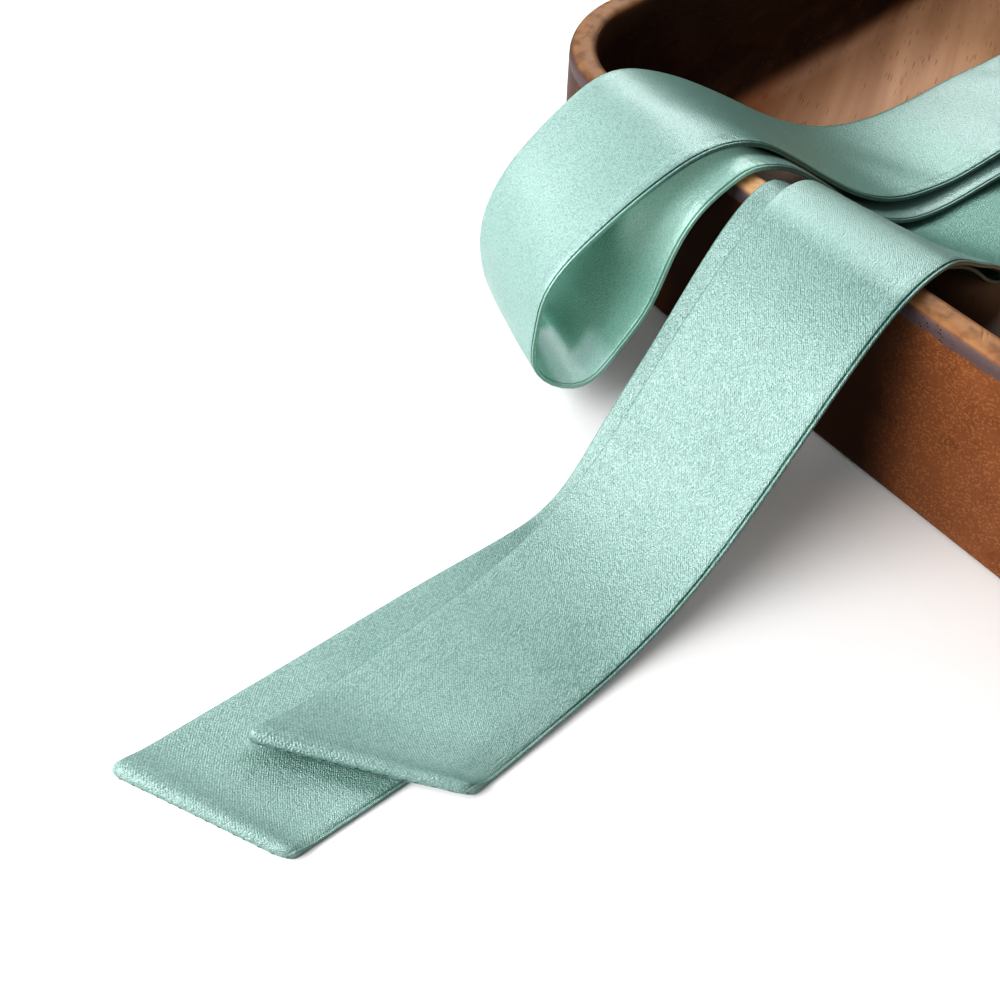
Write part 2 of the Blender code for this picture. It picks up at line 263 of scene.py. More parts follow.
def oiled_wood():
    material, shader = new_finish("oiled_wood")
    place = coordinates(shader, "Object")
    facing = coordinates(shader, "Normal")
    up = facing.node("SeparateXYZ", {}, {0: facing}, 2)
    height = place.node("SeparateXYZ", {}, {0: place}, 2) * 1000
    forward = place.node("SeparateXYZ", {}, {0: place}, 1) * 1000 - FRONT_Y
    # Millimetres, with y along the grain
    grain = place.stretched((1000, 1000, 1000), (0, 0, -GRAIN_TURN))
    streaks = grain.stretched((0.09, 0.006, 0.09)).clouds(1.0, 5.0, 0.55, 0.6)
    bands = grain.stretched((0.022, 0.003, 0.03)).clouds(1.0, 3.0, 0.5, 0.8)
    blotches = grain.clouds(26.0, 3.0, 0.6)
    level = up.rising(0.70, 0.985)
    inside = forward.rising(TRAY_WALL - 1.0, TRAY_WALL + 0.5)
    # Red-brown walls, tan where the wood faces up, darker along some streaks
    wall = streaks.rising(0.3, 0.75).colour(WALL_BROWN, WALL_LIGHT)
    wall = blotches.rising(0.25, 0.6).colour(wall, WALL_BLOTCH)
    tan = streaks.rising(0.32, 0.72).colour(FLOOR_TAN, FLOOR_LIGHT)
    tan = (bands.rising(0.5, 0.68) * 0.6).colour(tan, FLOOR_BAND)
    # The tails shade a dark band of the front wall
    across = place.node("SeparateXYZ", {}, {0: place}, 0) * 1000 + (blotches - 0.5) * 10
    shadow = (across + 0.25 * height).between(-70.0, 10.0, 24.0)
    shadow = shadow * (1 - forward.rising(30.0, 60.0))
    wall = (shadow * 0.85).colour(wall, WALL_SHADE)
    base = level.colour(wall, tan)
    # The block's left end is dark heartwood, and inside the hollow there its darkness is also
    # painted shade, with a red fringe of painted shade on the floor.  Painted light makes the
    # floor lighter to the right.  The hollow's walls and the floor close behind the front wall
    # are painted shade too.
    across_grain = grain.node("SeparateXYZ", {}, {0: grain}, 0) + (blotches - 0.5) * 16
    heartwood_and_shade = 1 - across_grain.rising(-118.0, -96.0)
    # A red fringe of painted shade on the floor, at the edge of the dark left end
    red_shade_fringe = across_grain.between(-101.0, -84.0, 16.0) * level * inside
    base = (red_shade_fringe * 0.75).colour(base, SHADE_FRINGE)
    # Painted light: the floor grows lighter to the right
    base = (across_grain.rising(-84.0, 10.0) * level * inside * 0.22).colour(base, FLOOR_LIT)
    heartwood_and_shade = heartwood_and_shade + inside * (1 - level) + inside * (1 - forward.rising(78.0, 112.0))
    heartwood_and_shade = heartwood_and_shade.maths("MINIMUM", 1.0)
    # One dark colour serves both the heartwood and the painted shade
    dark = streaks.rising(0.3, 0.75).colour(DARK_HEARTWOOD_AND_SHADE, DARK_HEARTWOOD_AND_SHADE_PALER)
    base = (heartwood_and_shade * 0.92).colour(base, dark)
    # Pores run along the grain: dark dashes on the floor, pale specks on the end grain
    end_grain = facing.node("VectorMath", {"operation": "DOT_PRODUCT"}, {
        0: facing, 1: (-math.sin(math.radians(GRAIN_TURN)),
                       math.cos(math.radians(GRAIN_TURN)), 0.0)}, 1)
    end_grain = end_grain.maths("ABSOLUTE").rising(0.55, 0.85)
    pores = grain.stretched((1.0, 0.075, 1.0)).cells(1.05)
    wobble = grain.clouds(9.0, 2.0)
    pore = 1 - pores.rising(0.10, 0.36)
    dashes = pore * wobble.rising(0.45, 0.6) * (1 - end_grain)
    specks = grain.stretched((1.0, 0.5, 1.0)).clouds(0.74, 1.0).rising(0.51, 0.62)
    specks = specks * end_grain * wobble.rising(0.25, 0.45) * (1 - shadow)
    base = (dashes * 0.55).colour(base, PORE_DASH)
    base = (specks * 0.42).colour(base, PORE_SPECK)
    # A painted sheen: a grey-purple band under the front rim, where the oiled wood reflects the
    # window, dotted with black pores
    edge = grain.clouds(9.0, 3.0) * 3.4
    rim_sheen = (height + edge).between(68.0, 71.4, 0.8) * (1 - inside) * (1 - up.rising(0.5, 0.8))
    rim_sheen = rim_sheen * (1 - forward.rising(2.0, 12.0))
    base = (rim_sheen * 0.88).colour(base, SHEEN_GREY)
    dots = 1 - grain.stretched((1.0, 0.3, 1.0)).cells(0.95).rising(0.16, 0.24)
    dots = dots * rim_sheen * across.between(-8.0, 14.0, 8.0)
    base = dots.colour(base, PORE_BLACK)
    # The sanded rim: orange tan, with a painted patch of light between the loop and the tails,
    # and a few fine checks
    rim = height.rising(69.2, 70.7)
    warm = grain.clouds(5.0, 4.0).rising(0.32, 0.60).colour(RIM_BROWN, RIM_ORANGE)
    base = (rim * 0.85 * (1 - heartwood_and_shade * 0.25)).colour(base, warm)
    # Painted light on the rim between the loop and the tails
    lit = rim * across.between(-64.0, -52.0, 5.0) * (1 - forward.rising(30.0, 60.0))
    base = (lit * (0.15 + 0.75 * grain.clouds(2.0, 4.0))).colour(base, RIM_LIT)
    checks = grain.node("TexVoronoi", {"feature": "DISTANCE_TO_EDGE"}, {
        "Vector": grain.stretched((0.55, 0.16, 0.55)), "Scale": 0.42})
    checks = (1 - checks.rising(0.0, 0.03)) * rim * 0.6 * blotches.rising(0.5, 0.62)
    base = (checks * 0.8).colour(base, CHECK_BROWN)
    feed(shader, "Base Color", base)
    feed(shader, "Roughness", 0.34 + 0.16 * streaks + 0.10 * blotches - 0.05 * level)
    relief = streaks * 0.10 - dashes * 0.25 - dots * 0.3 - checks * 0.4 + specks * 0.05
    bump = relief.node("Bump", {}, {"Height": relief, "Strength": 0.55, "Distance": 0.0006})
    feed(shader, "Normal", bump)
    shader.inputs["Specular IOR Level"].default_value = 0.16
    return material


tray = carve_tray()
tray.data.materials.append(oiled_wood())
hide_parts("tray")
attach(tray, "root")


# The scarf.
# One long strip of mint satin, folded lengthwise, sewn along its right edge and its slanted
# tips, turned right side out and pressed flat.  It lies doubled over the tray's front wall.
SCARF_WIDTH = 50.0
CLOTH_WALL = 1.6
LAYER_GAP = 0.3
LOWER_TIP_SLANT = 29.0
UPPER_TIP_SLANT = 37.3
TIP_RUN = 75.0
SAG_FROM = 0.8
TIP_CORNER_RADIUS = 4.2
RIM_CLEARANCE = 0.12
TIP_LIFT = 4.1
TIP_LIFT_RUN = 27
TIP_LIFT_FALL = 1.7
RIGHT_LIFT = 1.2
RIGHT_LIFT_RUN = 16
RIGHT_LIFT_FROM = 0.7
RIGHT_LIFT_OVER = 0.3
HEM_LIFT = 0.55
HEM_LIFT_RUN = 15
TURN_Y = 228.0
TURN_X_LOW = -49.0
TURN_X_HIGH = -53.0
INNER_TURN_RADIUS = 3.5
OUTER_TURN_RADIUS = INNER_TURN_RADIUS + CLOTH_WALL + LAYER_GAP + 0.3
TURN_Z = TRAY_FLOOR + LAYER_GAP + CLOTH_WALL / 2 + OUTER_TURN_RADIUS
TURN_STEPS = 4
# Each table follows the middle of one stretch: x and y from the middle of the tray's front
# face, height, turn and tilt of the cross direction in degrees, and sag of the right edge.
LOWER_TAIL = [
    (-29.5, -240.0, 0.5, -3.5, 0, 0),
    (-26.0, -201.0, 0.5, -4.0, 0, 0),
    (-23.0, -165.0, 0.5, -3.5, 0, 0),
    (-20.5, -136.0, 0.5, -3.5, 0, 0),
    (-17.8, -112.0, 0.6, -4.0, 1, 0),
    (-16.8, -87.0, 4.2, -2.5, 1, 0),
    (-19.6, -66.0, 19.2, -1.0, 0, 0),
    (-23.3, -41.5, 40.8, -1.0, 0, 0),
    (-27.3, -16.5, 61.8, 0.5, 0, 0),
    (-28.6, -2.0, 71.2, 1.5, 0, 0),
    (-29.1, 6.0, 72.3, 2.0, 0, 0),
    (-29.5, 13.0, 69.5, 2.0, 0, 0),
    (-29.7, 26.0, 60.0, 3.0, 2, 0),
    (-29.5, 45.0, 45.5, 4.5, 9, 0),
    (-29.0, 66.0, 28.5, 6.0, 13, 0),
    (-28.5, 84.0, 14.5, 8.0, 9, 0),
    (-29.5, 103.0, 9.0, 9.5, 2, 0),
    (-32.5, 124.0, 7.8, 11.0, 0, 0),
    (-38.5, 160.0, 7.8, 8.0, 0, 0),
    (-45.0, 195.0, 7.8, 3.0, 0, 0),
]
LOOP_TOP = [
    (-60.5, 200.0, 18.4, -4.0, 4, 0),
    (-67.2, 165.0, 16.2, -9.0, 8, 0),
    (-71.5, 131.0, 14.2, -11.0, 4, 0),
    (-77.0, 96.0, 21.5, -11.0, 0, 0),
    (-83.5, 62.0, 41.8, -9.4, 0, 0),
    (-88.8, 35.0, 62.0, -7.4, 2, 0),
    (-92.5, 13.6, 74.5, -6.9, 3, 0),
    (-94.6, -3.7, 78.1, -7.6, 1, 0),
    (-97.2, -21.6, 71.9, -8.4, 3, 0),
    (-99.6, -40.3, 60.6, -11.2, 6, 0),
    (-100.4, -53.3, 46.3, -15.6, 10, 0),
    (-99.0, -57.2, 32.2, -18.8, 11, 0),
    (-95.2, -56.5, 15.9, -25.0, 12, 0),
    (-87.5, -44.5, 7.9, -22.0, 13, 0),
]
LOOP_BACK = [
    (-85.8, -33.6, 19.1, -18.2, 8, 0),
    (-85.4, -24.8, 35.2, -11.3, 5, 0),
    (-86.0, -18.5, 52.3, -8.3, 4, 0),
    (-85.6, -10.0, 66.5, -5.9, 2, 0),
    (-84.8, -1.0, 71.6, -5.0, 1, 0),
    (-84.3, 6.0, 73.0, -4.5, 1, 0),
    (-83.5, 14.5, 70.3, -4.4, 3, 0),
    (-81.8, 29.0, 61.5, -4.4, 5, 0),
    (-77.6, 49.4, 45.5, -4.5, 5, 0),
    (-72.3, 77.0, 24.0, -6.5, 3, 0),
    (-69.2, 94.0, 15.0, -7.0, 4, 0),
    (-66.4, 112.0, 11.2, -7.5, 5, 0),
    (-62.5, 148.0, 12.0, -7.5, 6, 0),
    (-58.0, 180.0, 13.8, -5.0, 4, 0),
    (-54.5, 207.0, 15.8, -2.0, 2, 0),
]
UPPER_TAIL = [
    (-39.0, 190.0, 9.7, 3.0, 0, 0),
    (-32.0, 153.0, 9.7, 8.0, 0, 0),
    (-27.0, 124.0, 9.8, 9.0, 0, 0),
    (-24.8, 103.0, 12.0, 8.5, 4, 0),
    (-24.0, 85.0, 20.0, 7.0, 11, 0),
    (-23.7, 68.0, 32.5, 5.5, 14, 0),
    (-23.0, 47.0, 49.5, 4.5, 9, 0),
    (-22.5, 27.0, 66.3, 3.8, 2, 0),
    (-21.5, 14.0, 73.8, 3.5, -1, 0),
    (-21.0, 6.0, 75.5, 3.0, -2, 0),
    (-20.2, -3.0, 75.0, 2.0, -1, 0),
    (-19.0, -15.0, 69.6, 1.5, 1, 0),
    (-16.3, -36.5, 53.6, 2.5, 1, 0),
    (-13.6, -58.5, 32.1, 2.2, 1, 0),
    (-11.4, -82.5, 13.4, 2.0, 1, 0),
    (-10.2, -106.0, 4.6, 2.4, 0, 0),
    (-9.6, -138.0, 2.4, 2.4, 0, 1.2),
    (-9.8, -168.0, 2.4, 2.4, 0, 1.8),
    (-10.9, -204.4, 2.4, 2.7, 0, 1.8),
]
# Half the pressed tube's wall at distances in from its folded left edge and its sewn right
# edge.  The seam is a groove between two lips, and its turned-in hem makes a low ridge.
FOLD_EDGE = [(0.0, 0.0), (0.06, 0.34), (0.28, 0.62), (0.8, 0.78), (2.2, 0.82), (5.0, 0.80)]
SEAM_EDGE = [(0.30, 0.0), (0.05, 0.26), (0.0, 0.46), (0.14, 0.64), (0.45, 0.74), (0.80, 0.66),
             (1.00, 0.50), (1.22, 0.66), (1.7, 0.84), (2.8, 0.88), (5.2, 0.86), (7.2, 0.80)]
# The hem inside each tip is thicker still: shares of the wall at distances from the tip.
TIP_EDGE = [(0.55, 0.0), (0.15, 0.30), (0.0, 0.62), (0.10, 0.95), (0.45, 1.32), (1.0, 1.72),
            (1.8, 2.18), (2.7, 2.60), (3.8, 2.85), (5.1, 2.80), (6.7, 2.42), (8.5, 1.86),
            (10.6, 1.38), (13.4, 1.10), (17.0, 1.0)]
MIDDLE_COLUMNS = 17
# Soft creases, listed one by one: length along the scarf, distance from the fold, turn in
# degrees, half length, half width and rise of each.
CREASES = [
    (60, 20, 62, 34, 9, 0.12), (104, 8, 20, 26, 7, 0.25), (150, 10, 35, 30, 8, 0.30),
    (236, 30, 70, 22, 8, 0.45), (330, 18, 55, 30, 10, 0.20), (420, 32, 80, 30, 11, 0.12),
    (575, 14, 60, 34, 10, 0.80), (655, 36, 50, 30, 9, 0.70), (715, 20, 75, 26, 9, 0.60),
    (770, 34, 40, 24, 8, 0.45), (806, 18, 66, 22, 9, -0.55), (838, 33, 80, 20, 8, 0.60),
    (868, 15, 55, 22, 8, -0.60), (872, 50, 0, 12, 12, 1.4),
    (905, 34, 68, 20, 7, 0.80), (946, 20, 40, 22, 8, -0.70),
    (1010, 30, 72, 24, 9, 0.50), (1100, 16, 58, 34, 10, 0.70), (1190, 35, 66, 30, 9, 0.60),
    (1330, 20, 58, 30, 10, 0.60), (1415, 34, 76, 24, 8, 0.50), (1486, 16, 60, 22, 8, 0.40),
    (1530, 30, 48, 34, 9, 0.55), (1566, 12, 66, 26, 8, 0.45), (1602, 36, 40, 32, 8, 0.50),
    (1640, 18, 64, 36, 9, 0.45), (1672, 38, 30, 26, 7, 0.35),
]
DEEPEST_CREASE = -2.0
ROW_STEP = 3.4
# Below this share of the wall a row near a tip closes, and below this half wall a column
# near a side edge does.
OPEN_ROW_SHARE = 0.62
OPEN_COLUMN_HALF = 0.46
# The seam's groove lies this far in from the edge, and the hems fill it near the tips.
GROOVE_IN = 0.95
GROOVE_HALF_WIDTH = 0.6
GROOVE_FILL = 0.72
GROOVE_FILL_RUN = 90
UPPER_HEM_SWELL = 0.25
UPPER_HEM_RUN = 12
FLAT_HALF = 0.80
FLAT_HEM_ROOM = 0.5
FLAT_HEM_RUN = 15
SLOPE_STEP = 0.4
SATIN_THICKNESS = 0.25
# Millimetres of cloth in one unit of its map.
MAP_MM = 100


def turn_rows(radius):
    """Rows round the back of the heap, from the low strand up to the high one."""
    rows = []
    for step in range(TURN_STEPS + 1):
        share = step / TURN_STEPS
        angle = math.pi * share
        x = TURN_X_LOW + (TURN_X_HIGH - TURN_X_LOW) * share
        rows.append((x, TURN_Y + radius * math.sin(angle), TURN_Z - radius * math.cos(angle),
                     0, 0, 0))
    return rows


def spline_slopes(along, values):
    """Slopes at the rows of the smooth curve, a natural cubic spline, through them."""
    gaps = np.diff(along)[:, None]
    rise = np.diff(values, axis=0) / gaps
    count = len(along)
    grid = np.zeros((count, count))
    right = np.zeros(values.shape)
    grid[0, :2] = 2, 1
    right[0] = 3 * rise[0]
    grid[-1, -2:] = 1, 2
    right[-1] = 3 * rise[-1]
    for row in range(1, count - 1):
        before, after = gaps[row - 1], gaps[row]
        grid[row, row - 1:row + 2] = after[0], 2 * (before + after)[0], before[0]
        right[row] = 3 * (after * rise[row - 1] + before * rise[row])
    return np.linalg.solve(grid, right)


def follow(along, values, slopes, at):
    """Values of the smooth curve at the given lengths along it."""
    row = np.clip(np.searchsorted(along, at, side="right") - 1, 0, len(along) - 2)
    gap = along[row + 1] - along[row]
    part = ((at - along[row]) / gap)[..., None]
    gap = gap[..., None]
    start = (1 + 2 * part) * (1 - part) ** 2 * values[row]
    start = start + part * (1 - part) ** 2 * gap * slopes[row]
    end = part ** 2 * (3 - 2 * part) * values[row + 1]
    end = end + part ** 2 * (part - 1) * gap * slopes[row + 1]
    return start + end


def off_the_wall(y, z, lift):
    """Points of the strip's middle surface, moved out to lift from the front wall's wood."""
    half = TRAY_WALL / 2
    side = np.sign(y - half)
    beside = np.maximum(np.abs(y - half) - (half - RIM_RADIUS), 0)
    above = z - (TRAY_HEIGHT - RIM_RADIUS)
    round_top = above > 0
    reach = np.where(round_top, np.hypot(beside, np.maximum(above, 0)), beside)
    push = np.clip(lift + RIM_RADIUS - reach, 0, None)
    share = push / np.maximum(reach, 1e-6)
    return y + side * beside * share, z + np.where(round_top, above * share, 0)


SCARF_ROWS = (LOWER_TAIL + turn_rows(OUTER_TURN_RADIUS) + LOOP_TOP + LOOP_BACK
              + turn_rows(INNER_TURN_RADIUS)[::-1] + UPPER_TAIL)
scarf_values = np.array(SCARF_ROWS, float)
scarf_steps = np.linalg.norm(np.diff(scarf_values[:, :3], axis=0), axis=1)
scarf_along = np.concatenate([[0.0], np.cumsum(scarf_steps)])
scarf_slopes = spline_slopes(scarf_along, scarf_values)
SCARF_LENGTH = float(scarf_along[-1])
LOOP_FROM = float(scarf_along[len(LOWER_TAIL)])
LOOP_FOOT = float(scarf_along[len(LOWER_TAIL) + TURN_STEPS + len(LOOP_TOP)])
UPPER_LAYER_FROM = float(scarf_along[len(LOWER_TAIL) + TURN_STEPS + 1 + len(LOOP_TOP)
                                     + len(LOOP_BACK)])


def smooth(part):
    """A smooth rise from 0 to 1 as the part goes from 0 to 1."""
    part = np.clip(part, 0, 1)
    return part * part * (3 - 2 * part)


def rounded_corner(side, end, radius):
    """Distances in from a side edge and a tip edge, drawn in so that the corner is round."""
    close = (side < radius) & (end < radius)
    a = np.clip(radius - side, 0, radius) / radius
    b = np.clip(radius - end, 0, radius) / radius
    new_side = radius - radius * a * np.sqrt(1 - b * b / 2)
    new_end = radius - radius * b * np.sqrt(1 - a * a / 2)
    return np.where(close, new_side, side), np.where(close, new_end, end)


def scarf_middle(length, inward):
    """Points of the scarf's middle surface at lengths and at distances from the left edge."""
    end = np.minimum(length, SCARF_LENGTH - length)
    left, end_left = rounded_corner(inward, end, TIP_CORNER_RADIUS)
    right, end_right = rounded_corner(SCARF_WIDTH - inward, end, TIP_CORNER_RADIUS)
    near_left = inward < SCARF_WIDTH / 2
    inward = np.where(near_left, left, SCARF_WIDTH - right)
    end = np.where(near_left, end_left, end_right)
    length = np.where(length < SCARF_LENGTH / 2, end, SCARF_LENGTH - end)
    across = inward / SCARF_WIDTH
    lower_fade = np.clip(1 - length / TIP_RUN, 0, 1)
    upper_fade = np.clip(1 - (SCARF_LENGTH - length) / TIP_RUN, 0, 1)
    at = length + LOWER_TIP_SLANT * across * lower_fade - UPPER_TIP_SLANT * across * upper_fade
    data = follow(scarf_along, scarf_values, scarf_slopes, at)
    turn = np.radians(data[..., 3])
    tilt = np.radians(data[..., 4])
    side = (across - 0.5) * SCARF_WIDTH
    x = data[..., 0] + side * np.cos(turn) * np.cos(tilt)
    y = data[..., 1] + side * np.sin(turn) * np.cos(tilt)
    z = data[..., 2] + side * np.sin(tilt)
    drop = data[..., 5] * smooth((across - SAG_FROM) / (1 - SAG_FROM))
    layer = np.where(at > UPPER_LAYER_FROM, 1.0, 0.0)
    stack = (layer + 0.5) * CLOTH_WALL + layer * LAYER_GAP
    y, z = off_the_wall(y, z, stack + LAYER_GAP + RIM_CLEARANCE)
    support = np.where(y > TRAY_WALL, TRAY_FLOOR + LAYER_GAP, 0.0)
    z = np.maximum(z, support + stack) - drop
    # The upper tip's corners stand a little off what lies below, and both hems are thick
    from_tip = SCARF_LENGTH - length
    z = z + TIP_LIFT * smooth(1 - from_tip / TIP_LIFT_RUN) * (1 - across) ** TIP_LIFT_FALL
    right = smooth((across - RIGHT_LIFT_FROM) / RIGHT_LIFT_OVER)
    z = z + RIGHT_LIFT * smooth(1 - from_tip / RIGHT_LIFT_RUN) * right
    z = z + HEM_LIFT * smooth(1 - end / HEM_LIFT_RUN)
    return np.stack([x, y + FRONT_Y, z], -1)


def crease_rise(length, inward):
    """How far the soft creases lift the cloth at lengths and distances from the fold."""
    rise = np.zeros(np.broadcast(length, inward).shape)
    for along, in_from, turned, half_length, half_width, height in CREASES:
        angle = math.radians(turned)
        on = (length - along) * math.sin(angle) + (inward - in_from) * math.cos(angle)
        off = (inward - in_from) * math.sin(angle) - (length - along) * math.cos(angle)
        rise = rise + height * np.exp(-(off / half_length) ** 2 - (on / half_width) ** 2)
    return rise


def edge_columns():
    """Distances from the left edge and half walls of one face, from the fold to the seam."""
    inner_left = FOLD_EDGE[-1][0]
    inner_right = SCARF_WIDTH - SEAM_EDGE[-1][0]
    columns = list(FOLD_EDGE)
    for step in range(1, MIDDLE_COLUMNS + 1):
        part = step / (MIDDLE_COLUMNS + 1)
        columns.append((inner_left + (inner_right - inner_left) * part, FLAT_HALF))
    columns += [(SCARF_WIDTH - inward, half) for inward, half in SEAM_EDGE[::-1]]
    return np.array(columns)


def scarf_rows():
    """Lengths along the scarf, and each one's share of the full wall, from tip to tip."""
    start, end = TIP_EDGE[-1][0], SCARF_LENGTH - TIP_EDGE[-1][0]
    count = round((end - start) / ROW_STEP)
    rows = list(TIP_EDGE)
    rows += [(start + (end - start) * step / count, 1.0) for step in range(1, count)]
    rows += [(SCARF_LENGTH - inward, share) for inward, share in TIP_EDGE[::-1]]
    return np.array(rows)


def in_order(places):
    """The same places with each end's turned-back ones moved out to the end itself."""
    half = len(places) // 2
    start = np.minimum.accumulate(places[:half][::-1])[::-1]
    return np.concatenate([start, np.maximum.accumulate(places[half:])])


def sew_scarf():
    """The scarf: a closed tube of rings along its length, with a map of the flat cloth."""
    columns = edge_columns()
    rows = scarf_rows()
    length, inward = np.meshgrid(rows[:, 0], columns[:, 0], indexing="ij")
    # At the corners, where the wall thins to nothing, the tube's edges close without folding back
    even_inward, even_length = in_order(columns[:, 0])[None, :], in_order(rows[:, 0])[:, None]
    open_row = np.clip(rows[:, 1] / OPEN_ROW_SHARE, 0, 1)[:, None]
    open_column = np.clip(columns[:, 1] / OPEN_COLUMN_HALF, 0, 1)[None, :]
    inward = even_inward + (inward - even_inward) * open_row
    length = even_length + (length - even_length) * open_column
    half = columns[:, 1][None, :] * rows[:, 1][:, None]
    half = half * (1 + UPPER_HEM_SWELL * smooth(1 - (SCARF_LENGTH - length) / UPPER_HEM_RUN))
    from_tip = np.minimum(length, SCARF_LENGTH - length)
    filled = GROOVE_FILL * smooth(1 - from_tip / GROOVE_FILL_RUN)
    filled = filled * rows[:, 1][:, None]
    groove = np.abs(SCARF_WIDTH - inward - GROOVE_IN) < GROOVE_HALF_WIDTH
    half = np.where(groove, np.maximum(half, filled), half)
    middle = scarf_middle(length, inward)
    down = scarf_middle(np.minimum(length + SLOPE_STEP, SCARF_LENGTH), inward)
    down = down - scarf_middle(np.maximum(length - SLOPE_STEP, 0), inward)
    over = scarf_middle(length, np.minimum(inward + SLOPE_STEP, SCARF_WIDTH))
    over = over - scarf_middle(length, np.maximum(inward - SLOPE_STEP, 0))
    out = np.cross(over, down)
    out /= np.maximum(np.linalg.norm(out, axis=-1), 1e-9)[..., None]
    creases = crease_rise(length, inward)
    middle[..., 2] += np.maximum(creases, DEEPEST_CREASE) * np.abs(out[..., 2])
    middle[..., 1] += creases * out[..., 1]
    # The hems swell on the side that shows; the side lain on stays flat
    flat = np.minimum(half, FLAT_HALF + FLAT_HEM_ROOM * smooth(1 - from_tip / FLAT_HEM_RUN))
    lower = length < LOOP_FROM
    front = middle + out * np.where(lower, half, flat)[..., None]
    back = middle - out * np.where(lower, flat, half)[..., None]
    work = bmesh.new()
    cloth_map = work.loops.layers.uv.new("cloth")
    rings = []
    for row in range(len(rows)):
        ring = [work.verts.new(place * MM) for place in front[row]]
        ring += [work.verts.new(place * MM) for place in back[row, -2:0:-1]]
        rings.append(ring)
    round_it = list(columns[:, 0]) + [2 * SCARF_WIDTH - inward for inward in columns[-2:0:-1, 0]]
    round_it.append(2 * SCARF_WIDTH)
    size = len(rings[0])
    for row in range(len(rows) - 1):
        for spot in range(size):
            after = (spot + 1) % size
            corners = ((row, spot, spot), (row + 1, spot, spot),
                       (row + 1, after, spot + 1), (row, after, spot + 1))
            face = work.faces.new([rings[r][s] for r, s, _ in corners])
            for loop, (r, _, u) in zip(face.loops, corners):
                loop[cloth_map].uv = (round_it[u] / MAP_MM, rows[r, 0] / MAP_MM)
    bmesh.ops.remove_doubles(work, verts=work.verts, dist=2e-7)
    bmesh.ops.recalc_face_normals(work, faces=work.faces)
    mesh = bpy.data.meshes.new("skinny_scarf")
    work.to_mesh(mesh)
    work.free()
    mesh.shade_smooth()
    scarf = bpy.data.objects.new("skinny_scarf", mesh)
    bpy.context.scene.collection.objects.link(scarf)
    cloth = scarf.modifiers.new("satin", "SOLIDIFY")
    cloth.thickness = SATIN_THICKNESS * MM
    cloth.offset = -1.0
    return scarf


SATIN_LOW = (0.098, 0.192, 0.170)
SATIN_HIGH = (0.236, 0.372, 0.342)
SATIN_PALE = (0.35, 0.50, 0.46)
SATIN_TINT = (0.88, 1.0, 0.97, 1.0)
FOLD_SHADE_GREEN = (0.050, 0.120, 0.100)
PAINTED_SHADE_GREEN = (0.045, 0.210, 0.145)
CREST_HIGHLIGHT_MINT = (0.43, 0.63, 0.58)
TURN_SHADE_GREEN = (0.090, 0.190, 0.165)
DIP_SHADE_GREEN = (0.060, 0.140, 0.118)
TIP_SHADE_GREEN = (0.018, 0.105, 0.075)
EDGE_SHADE_GREEN = (0.022, 0.085, 0.062)
SEAM_GREEN = (0.022, 0.070, 0.052)
LOOP_PAINTED_LIGHT = (0.046, 0.104, 0.076)
LOOP_RIM_PAINTED_LIGHT = (0.120, 0.175, 0.150)
LOOP_FOOT_PAINTED_HIGHLIGHT = (0.160, 0.205, 0.200)
# Lengths along the scarf where the upper tail crosses the rim and turns down in front of it
CREST = (1470, 1485)
TURN_DOWN = (1497, 1507)
# The edge of the upper tip's shade: length along the lower tail, lean, and where it starts
TIP_SHADE_AT = 27
TIP_SHADE_LEAN = 0.72
TIP_SHADE_LEFT = 19


